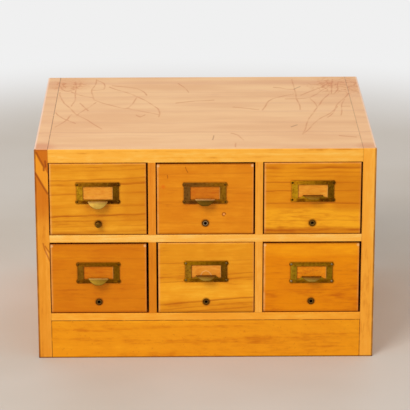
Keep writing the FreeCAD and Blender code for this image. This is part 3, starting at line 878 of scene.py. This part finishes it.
def card_frame_brass(number):
    """Brass gone brown and olive, rubbed bright in places, with a tongue polished by fingers. The colour
    across the frame and on the tongue's bend and tip is partly painted reflection, and the lower rail
    carries painted shade beside the tongue.
    """
    look = patinas[number]
    middle, window_height = frame_middle(number)
    face = edges(f"drawer_{number}_front")[0].y - frame_thickness
    finish = Finish(f"drawer_{number}_card_frame_brass", 130 + number)
    # Across the frame from its left end to its right: patina, and on most frames a painted reflection that
    # brightens the left end.
    across = finish.ramp(finish.place["x"], middle - frame_half_width, middle + frame_half_width)
    patch = finish.math("MULTIPLY_ADD", finish.noise(finish.point, 14.0, 3.0), 0.5, -0.25)
    finish.tone = finish.mix(finish.math("ADD", across, patch, clamp=True), paint(*look["left"]),
                             paint(*look["right"]))
    tarnish = finish.ramp(finish.noise(finish.point, 4.0, 4.0, 0.65), 0.42, 0.75)
    finish.stain(paint(160, 122, 76), tarnish, 0.7)
    above = finish.total(finish.place["z"], -window_height)
    rail = finish.ramp(finish.math("ABSOLUTE", above), window_half_height - 1.0, window_half_height + 1.0)
    finish.stain(paint(*look["rail"]), rail)
    # Painted shade and grime on the lower rail beside the tongue.
    beside = finish.between(finish.math("ABSOLUTE", finish.total(finish.place["x"], -middle)), 14, 22, 6)
    below = finish.ramp(above, -window_half_height, -window_half_height - 2.0)
    finish.stain(paint(160, 130, 104), beside, below, look["shade_and_grime"])
    speck = finish.ramp(finish.noise(finish.point, 1.3, 2.0), 0.6, 0.75)
    finish.cover(shade(look["left"], (1.2, 1.25, 1.8)), speck, 0.4)
    # The tongue's bend and tip: polish and patina, with painted reflection where the bend faces up.
    out = finish.math("MULTIPLY", finish.total(finish.place["y"], -face), -1.0)
    tongue = finish.mix(finish.ramp(out, 3.0, 6.0), paint(*look["bend"]), paint(*look["tip"]))
    worn = finish.ramp(finish.noise(finish.point, 5.0, 3.0), 0.3, 0.7, 0.75, 1.0)
    finish.cover(tongue, finish.ramp(out, 0.2, 1.0), worn)
    finish.height = finish.product(finish.noise(finish.point, 3.0, 3.0), 0.12)
    roughness = finish.ramp(finish.noise(finish.point, 6.0, 2.0), 0.3, 0.7, 0.32, 0.5)
    roughness = finish.math("MAXIMUM", roughness, finish.ramp(out, 0.2, 1.5, 0.0, 0.58))
    return finish.gloss(roughness, metallic=1.0)


def turned(bm, outline, x, z, steps=40):
    """A turned piece on an axis along Y, whose outline is given as (radius, y) places.

    An outline that starts and ends on the axis makes a closed solid, and one that ends where it
    starts makes a ring."""
    corners = [bm.verts.new(((x + radius) * MM, y * MM, z * MM)) for radius, y in outline]
    ring = outline[0] == outline[-1]
    if ring:
        bm.verts.remove(corners.pop())
        corners.append(corners[0])
    lines = [bm.edges.new(pair) for pair in zip(corners, corners[1:])]
    bmesh.ops.spin(bm, geom=corners[:-1] + lines if ring else corners + lines, use_merge=True, steps=steps,
                   cent=(x * MM, 0, z * MM), axis=(0, 1, 0), angle=2 * math.pi)


def finish_turned(name, bm, material, body, node):
    """Close a turned piece's seams and let it stand in for its CAD node."""
    bmesh.ops.remove_doubles(bm, verts=bm.verts, dist=0.01 * MM)
    bmesh.ops.recalc_face_normals(bm, faces=bm.faces)
    piece = add_piece(name, bm, material)
    piece.data.shade_smooth()
    piece.data.set_sharp_from_angle(angle=math.radians(40))
    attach(piece, body)
    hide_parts(node)


def arc(middle, radius, start, end, count=6):
    """Places on an arc in an outline, with its angles in degrees from the radius direction."""
    places = []
    for step in range(count + 1):
        angle = math.radians(start + (end - start) * step / count)
        places.append((middle[0] + radius * math.cos(angle), middle[1] + radius * math.sin(angle)))
    return places


def fittings_brass(number):
    """The pins, and a dark eyelet whose lip round the bore is rubbed pale and carries a painted highlight,
    with painted shade filling the bore.
    """
    finish = Finish(f"drawer_{number}_fittings_brass", 151 + number)
    look, bore = patinas[number], rod_middle(number)
    patch = finish.ramp(finish.noise(finish.point, 3.0, 3.0), 0.35, 0.7)
    flat = finish.joined(finish.place["x"], finish.place["z"])
    finish.tone = finish.mix(finish.spot(flat, bore, 7.0, 8.0), paint(*look["pin"]), paint(108, 70, 17))
    finish.stain(paint(172, 158, 136), patch)
    # The eyelet's lip: partly rubbed pale and partly a painted highlight on its rolled edge.
    finish.cover(paint(*look["lip"]), finish.spot(flat, bore, 3.2, 4.0), 0.85)
    # Painted shade inside the bore.
    inside = finish.product(finish.spot(flat, bore, 2.3, 2.9),
                            finish.ramp(finish.place["y"], front_y - 0.6, front_y + 0.6))
    finish.cover(paint(36, 20, 10), inside)
    finish.height = finish.product(finish.noise(finish.point, 1.6, 3.0), 0.08)
    return finish.gloss(0.36, metallic=1.0)


pin_radius, pin_height = 1.7, 1.0
pin_spacing = (31.5, 13.8)
flange_radius, flange_height, barrel_radius, bore_radius = 5.3, 1.2, 3.5, 2.2
rod_radius, front_thickness = 2.12, 17.0


def make_fittings(number, material):
    """The four dome-headed pins and the rolled eyelet of one drawer."""
    face = edges(f"drawer_{number}_front")[0].y
    middle_x, middle_z = frame_middle(number)
    bm = bmesh.new()
    dome = (pin_radius ** 2 + pin_height ** 2) / (2 * pin_height)
    rim_angle = math.degrees(math.asin(pin_radius / dome))
    seat = face - frame_thickness
    crown = arc((0.0, seat - pin_height + dome), dome, -90, -90 + rim_angle)
    for side in (-1, 1):
        for end in (-1, 1):
            turned(bm, crown + [(pin_radius, seat + 0.05), (0.0, seat + 0.05)],
                   middle_x + side * pin_spacing[0], middle_z + end * pin_spacing[1], steps=24)
    roll = flange_height / 2
    outline = arc((flange_radius - roll, face - roll), roll, 90, -90)
    outline += [(bore_radius + 0.9, face - flange_height)]
    outline += arc((bore_radius + 0.6, face - flange_height + 0.6), 0.6, -90, -180)
    outline += [(bore_radius, face + front_thickness), (barrel_radius, face + front_thickness),
                (barrel_radius, face), outline[0]]
    turned(bm, outline, *rod_middle(number))
    finish_turned(f"drawer_{number}_fittings", bm, material, f"drawer_{number}",
                  f"drawer_{number}_pins_and_eyelet")


def make_knob_rod():
    """The first drawer's rod with its turned knob."""
    low, high = edges("drawer_1_rod")
    knob_radius, knob_length, round_edge = (high.x - low.x) / 2, 5.0, 0.9
    bm = bmesh.new()
    outline = [(0.0, low.y + 0.25), (knob_radius * 0.45, low.y + 0.15)]
    outline += arc((knob_radius - round_edge, low.y + round_edge), round_edge, -90, 0)
    outline += arc((knob_radius - round_edge, low.y + knob_length - round_edge), round_edge, 0, 90)
    outline += [(rod_radius, low.y + knob_length), (rod_radius, high.y - 0.4),
                (rod_radius - 0.4, high.y), (0.0, high.y)]
    turned(bm, outline, *rod_middle(1))
    finish = Finish("knob_bronze", 157)
    patch = finish.ramp(finish.noise(finish.point, 3.0, 3.0), 0.35, 0.7)
    finish.tone = finish.mix(patch, paint(128, 90, 28), paint(92, 62, 16))
    bright = finish.ramp(finish.place["y"], low.y + 9.0, low.y + 14.0)
    finish.cover(paint(196, 158, 92), bright)
    finish.height = finish.product(finish.noise(finish.point, 1.6, 3.0), 0.08)
    finish_turned("drawer_1_knob_and_rod", bm, finish.gloss(0.34, metallic=1.0), "drawer_1_card_rod",
                  "drawer_1_rod")


def make_card_frame(number):
    """The card frame with the soft edges of stamped sheet, standing in for its CAD piece."""
    node = f"drawer_{number}_card_frame"
    bm = bmesh.new()
    bm.from_mesh(nodes[node].data)
    bmesh.ops.remove_doubles(bm, verts=bm.verts, dist=0.005 * MM)
    bmesh.ops.dissolve_limit(bm, angle_limit=math.radians(1.0), verts=bm.verts, edges=bm.edges)
    piece = add_piece(f"{node}_stamped", bm, card_frame_brass(number))
    piece.data.shade_smooth()
    soften = piece.modifiers.new("soften", "BEVEL")
    soften.width = 0.3 * MM
    soften.segments = 2
    soften.limit_method = "ANGLE"
    soften.angle_limit = math.radians(32)
    soften.harden_normals = True
    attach(piece, f"drawer_{number}")
    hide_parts(node)


def make_drawers():
    """The fronts, boxes and brass of the six drawers."""
    make_drawer_boxes()
    rod = Finish("rod_brass", 163)
    dull = rod.ramp(rod.noise(rod.joined(rod.place["x"], rod.math("DIVIDE", rod.place["y"], 6.0)), 4.0, 3.0),
                    0.35, 0.7)
    rod.tone = rod.mix(dull, paint(206, 168, 96), paint(150, 112, 50))
    # Painted shade on the rod's front end, where it sits in the eyelet's bore.
    rod.cover(paint(44, 24, 12), rod.ramp(rod.place["y"], front_y + 10.0, front_y + 6.0))
    rod_metal = rod.gloss(0.3, metallic=1.0)
    for number in fronts:
        dress(f"drawer_{number}_front", drawer_front_finish(number))
        dress(f"drawer_{number}_rod", rod_metal)
        make_fittings(number, fittings_brass(number))
        make_card_frame(number)
    make_knob_rod()


bpy.context.scene.view_settings.view_transform = "Standard"
wall_white = paint(240, 240, 240)
make_camera()
make_world(light=0.73, backdrop=wall_white)
soft_box("key_lamp", place=(-1.6, -2.6, 2.8), size=1.6, power=72, tint=(1.0, 0.98, 0.95))
make_floor(tone=paint(198, 188, 176), backdrop=wall_white, fade_start=1050, fade_end=1700)
make_case()
make_drawers()
